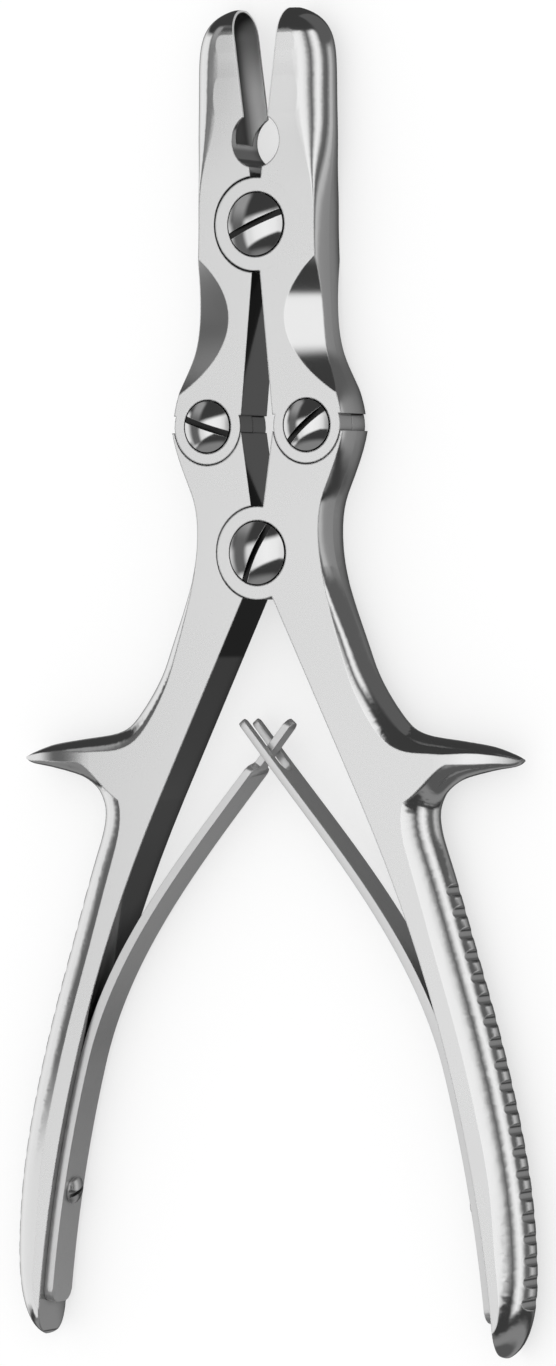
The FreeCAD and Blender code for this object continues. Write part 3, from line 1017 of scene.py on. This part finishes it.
@dataclass
class ReflectionDome:
    """The dark studio with its soft boxes that polished steel mirrors.

    It surrounds the instrument and only reflections see it. Its brightness goes by the turn
    round the instrument's long axis, in degrees from straight above towards +X, and by the rise
    towards the jaws. Towards the jaws and towards the grips the light ends at an edge, which
    is slanted on the main soft box. A pair named edge or turns holds the angle at which a
    change starts and the one at which it is complete, except the slant turns, which are the
    bounds of the slant.
    """

    radius: float = 3.0
    subdivisions: int = 5
    peak: float = 1.1
    dark: float = 0.05
    slant: float = 0.3
    upper_slant_turns: Span = (-60.0, 60.0)
    lower_slant_turns: Span = (-60.0, 8.0)
    left_turns: Span = (-66.0, -76.0)
    lower_right_turns: Span = (28.0, 38.0)
    upper_right_turns: Span = (70.0, 85.0)
    upper_edge: Span = (27.0, 18.0)
    lower_edge: Span = (11.5, 7.5)
    upper_side_edge: Span = (24.0, 16.0)
    lower_side_edge: Span = (22.0, 15.0)
    above_right: float = 0.12
    above_right_turns: Span = (60.0, 90.0)
    below_grey: float = 0.26
    below_edge: Span = (24.0, 34.0)
    far_below_grey: float = 0.11
    far_below_edge: Span = (42.0, 58.0)
    levels: tuple[Span, ...] = (
        (-180, 0.10), (-150, 0.12), (-132, 0.30), (-114, 0.80), (-97, 0.95), (-78, 0.90), (-60, 0.86),
        (-42, 0.86), (-34, 0.89), (-26, 1.02), (-10, 1.08), (5, 1.02), (14, 0.85),
        (22, 0.40), (31, 0.12), (38, 0.45), (44, 0.85), (54, 1.06), (64, 0.86), (72, 0.42),
        (80, 0.16), (94, 0.13), (106, 0.34), (116, 0.58), (128, 0.52), (138, 0.32), (150, 0.27),
        (164, 0.16), (180, 0.10),
    )

    def material(self) -> bpy.types.Material:
        """Builds the dome's glowing material.

        Returns:
            The material.
        """
        material, sheet = NodeSheet.of_material("studio_reflection_dome")
        place = sheet.add("ShaderNodeNewGeometry", {}, {}, "Position")
        way = sheet.add("ShaderNodeVectorMath", {"operation": "NORMALIZE"}, {0: place})
        x, y, z = sheet.split(way)
        turn, rise = x.angle_to(z), y.arcsine()
        stops = [(0.5 + angle / 360.0, level / self.peak) for angle, level in self.levels]
        band = sheet.add("ShaderNodeValToRGB", {"stops": stops}, {"Fac": turn / 360.0 + 0.5})
        band = band * self.peak
        left = turn.smooth(*self.left_turns)
        upper = (rise - turn.limited(*self.upper_slant_turns) * self.slant).smooth(*self.upper_edge)
        sides = left + turn.smooth(*self.upper_right_turns)
        upper = upper.towards(rise.smooth(*self.upper_side_edge), sides)
        lower = (turn.limited(*self.lower_slant_turns) * self.slant - rise).smooth(*self.lower_edge)
        sides = left + turn.smooth(*self.lower_right_turns)
        lower = lower.towards((-rise).smooth(*self.lower_side_edge), sides)
        above = turn.smooth(*self.above_right_turns).spread(self.dark, self.above_right)
        below = (-rise).smooth(*self.below_edge).spread(self.dark, self.below_grey)
        far_below = (-rise).smooth(*self.far_below_edge)
        below = below - far_below * (self.below_grey - self.far_below_grey)
        level = above.towards(below.towards(band, lower), upper)
        sheet.finish("ShaderNodeOutputMaterial", sheet.glow(level))
        return material

    def build(self) -> bpy.types.Object:
        """Makes the dome.

        Returns:
            The dome.
        """
        mesh = bmesh.new()
        bmesh.ops.create_icosphere(mesh, subdivisions=self.subdivisions, radius=self.radius)
        return ReflectionOnly.place(Piece.from_bmesh("studio_dome", mesh), self.material())


@dataclass
class ReflectionCard:
    """A grey card close to the instrument's left, which the jaws and the upper handle mirror.

    It is a piece of a cylinder about the long axis. It ends softly on all sides, beside the
    middle of the grips at its lower end, and it is lighter towards its upper end.
    """

    radius: float = 300.0
    sides: tuple[float, float, float, float] = (-74.0, -60.0, -48.0, -38.0)
    lower_end: Span = (-132.0, -96.0)
    upper_end: Span = (330.0, 260.0)
    grey: float = 0.14
    upper_grey: float = 0.36
    change: Span = (70.0, 190.0)
    steps: int = 24

    def material(self) -> bpy.types.Material:
        """Builds the card's glowing material, clear at its rims.

        Returns:
            The material.
        """
        material, sheet = NodeSheet.of_material("studio_grey_card")
        x, y, z = sheet.split(sheet.add("ShaderNodeNewGeometry", {}, {}, "Position"))
        turn = x.angle_to(z)
        height = y / MM
        outer_left, inner_left, inner_right, outer_right = self.sides
        cover = turn.smooth(outer_left, inner_left) * turn.smooth(outer_right, inner_right)
        cover = cover * height.smooth(*self.lower_end) * height.smooth(*self.upper_end)
        glow = sheet.glow(height.smooth(*self.change).spread(self.grey, self.upper_grey))
        clear = sheet.add("ShaderNodeBsdfTransparent", {}, {"Color": WHITE})
        card = sheet.add("ShaderNodeMixShader", {}, {0: cover, 1: clear, 2: glow})
        sheet.finish("ShaderNodeOutputMaterial", card)
        return material

    def build(self) -> bpy.types.Object:
        """Makes the card.

        Returns:
            The card.
        """
        mesh = bmesh.new()
        rows = []
        ends = (self.lower_end[0], self.upper_end[0])
        for i in range(self.steps + 1):
            angle = math.radians(self.sides[0] + (self.sides[-1] - self.sides[0]) * i / self.steps)
            spot = Vector((math.sin(angle), 0.0, math.cos(angle))) * self.radius
            rows.append([mesh.verts.new((spot + Vector((0.0, y, 0.0))) * MM) for y in ends])
        for before, after in zip(rows, rows[1:]):
            mesh.faces.new((before[0], before[1], after[1], after[0]))
        return ReflectionOnly.place(Piece.from_bmesh("studio_card", mesh), self.material())


@dataclass
class Studio:
    """The even white light all round and the pale floor."""

    world_strength: float = 1.04
    floor_size: float = 8.0
    floor_gap: float = 0.03
    floor_shade: float = 0.97
    floor_light: float = 1.02
    floor_light_share: float = 0.6

    def build_world(self) -> None:
        """Fills the world with even white light."""
        world = bpy.data.worlds.new("studio_white")
        bpy.context.scene.world = world
        world.use_nodes = True
        sheet = NodeSheet(world.node_tree)
        sockets = {"Color": WHITE, "Strength": self.world_strength}
        sheet.finish("ShaderNodeOutputWorld", sheet.add("ShaderNodeBackground", {}, sockets))

    def build_floor(self) -> bpy.types.Object:
        """Lays the pale floor just under the instrument's flat back.

        Returns:
            The floor.
        """
        mesh = bmesh.new()
        bmesh.ops.create_grid(mesh, x_segments=1, y_segments=1, size=self.floor_size / 2)
        bmesh.ops.translate(mesh, verts=mesh.verts[:], vec=(0.0, 0.0, -self.floor_gap * MM))
        obj = Piece.from_bmesh("studio_floor", mesh)
        material, sheet = NodeSheet.of_material("studio_floor_white")
        shade = (self.floor_shade,) * 3 + (1.0,)
        sockets = {"Base Color": shade, "Roughness": 1.0, "Specular IOR Level": 0.0}
        paper = sheet.add("ShaderNodeBsdfPrincipled", {}, sockets)
        light = sheet.add("ShaderNodeEmission", {}, {"Color": WHITE, "Strength": self.floor_light})
        lit = sheet.add("ShaderNodeMixShader", {}, {0: self.floor_light_share, 1: paper, 2: light})
        sheet.finish("ShaderNodeOutputMaterial", lit)
        Piece.dress(obj, material)
        obj.visible_glossy = False
        return obj


@dataclass
class PhotoCamera:
    """The photograph's camera, solved from the four pivots and the outline."""

    place: tuple[float, float, float] = (702.33, -12.39, 1236.62)
    right: tuple[float, float, float] = (0.869163124, -0.00488666904, -0.494501349)
    up: tuple[float, float, float] = (-0.000586057054, 0.999940296, -0.0109115101)
    back: tuple[float, float, float] = (0.494525147, 0.0097736882, 0.869108367)
    lens: float = 184.92
    film: float = 36.0
    clip_start: float = 0.05
    clip_end: float = 50.0

    def build(self) -> bpy.types.Object:
        """Makes the camera and gives it to the scene.

        Returns:
            The camera.
        """
        data = bpy.data.cameras.new("photo_camera")
        data.lens = self.lens
        data.sensor_width = self.film
        data.clip_start = self.clip_start
        data.clip_end = self.clip_end
        obj = bpy.data.objects.new("photo_camera", data)
        bpy.context.scene.collection.objects.link(obj)
        turn = Matrix((self.right, self.up, self.back)).transposed().to_4x4()
        obj.matrix_world = Matrix.Translation(Vector(self.place) * MM) @ turn
        bpy.context.scene.camera = obj
        return obj


def report_pieces(group: str, pieces: Iterable[bpy.types.Object]) -> None:
    """Logs each piece of a group with its number of points."""
    for piece in pieces:
        log.info("%s: %s, %d points", group, piece.name, len(piece.data.vertices))


def main() -> None:
    """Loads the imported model, dresses it and sets up the studio."""
    logging.basicConfig(level=logging.INFO, format="%(name)s %(message)s")
    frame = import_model()
    nodes = frame["nodes"]
    bpy.context.scene.view_settings.view_transform = "Standard"
    report_pieces("forging", Forgings().build(nodes))
    report_pieces("screw", Screws().build(nodes))
    path = SpringPath()
    path.trace()
    spring_steel = SpringFinish().material()
    report_pieces("spring", [LeafSpring(side, path).build(spring_steel) for side in Side])
    studio = Studio()
    studio.build_world()
    studio.build_floor()
    ReflectionDome().build()
    ReflectionCard().build()
    PhotoCamera().build()


if __name__ == "__main__":
    main()
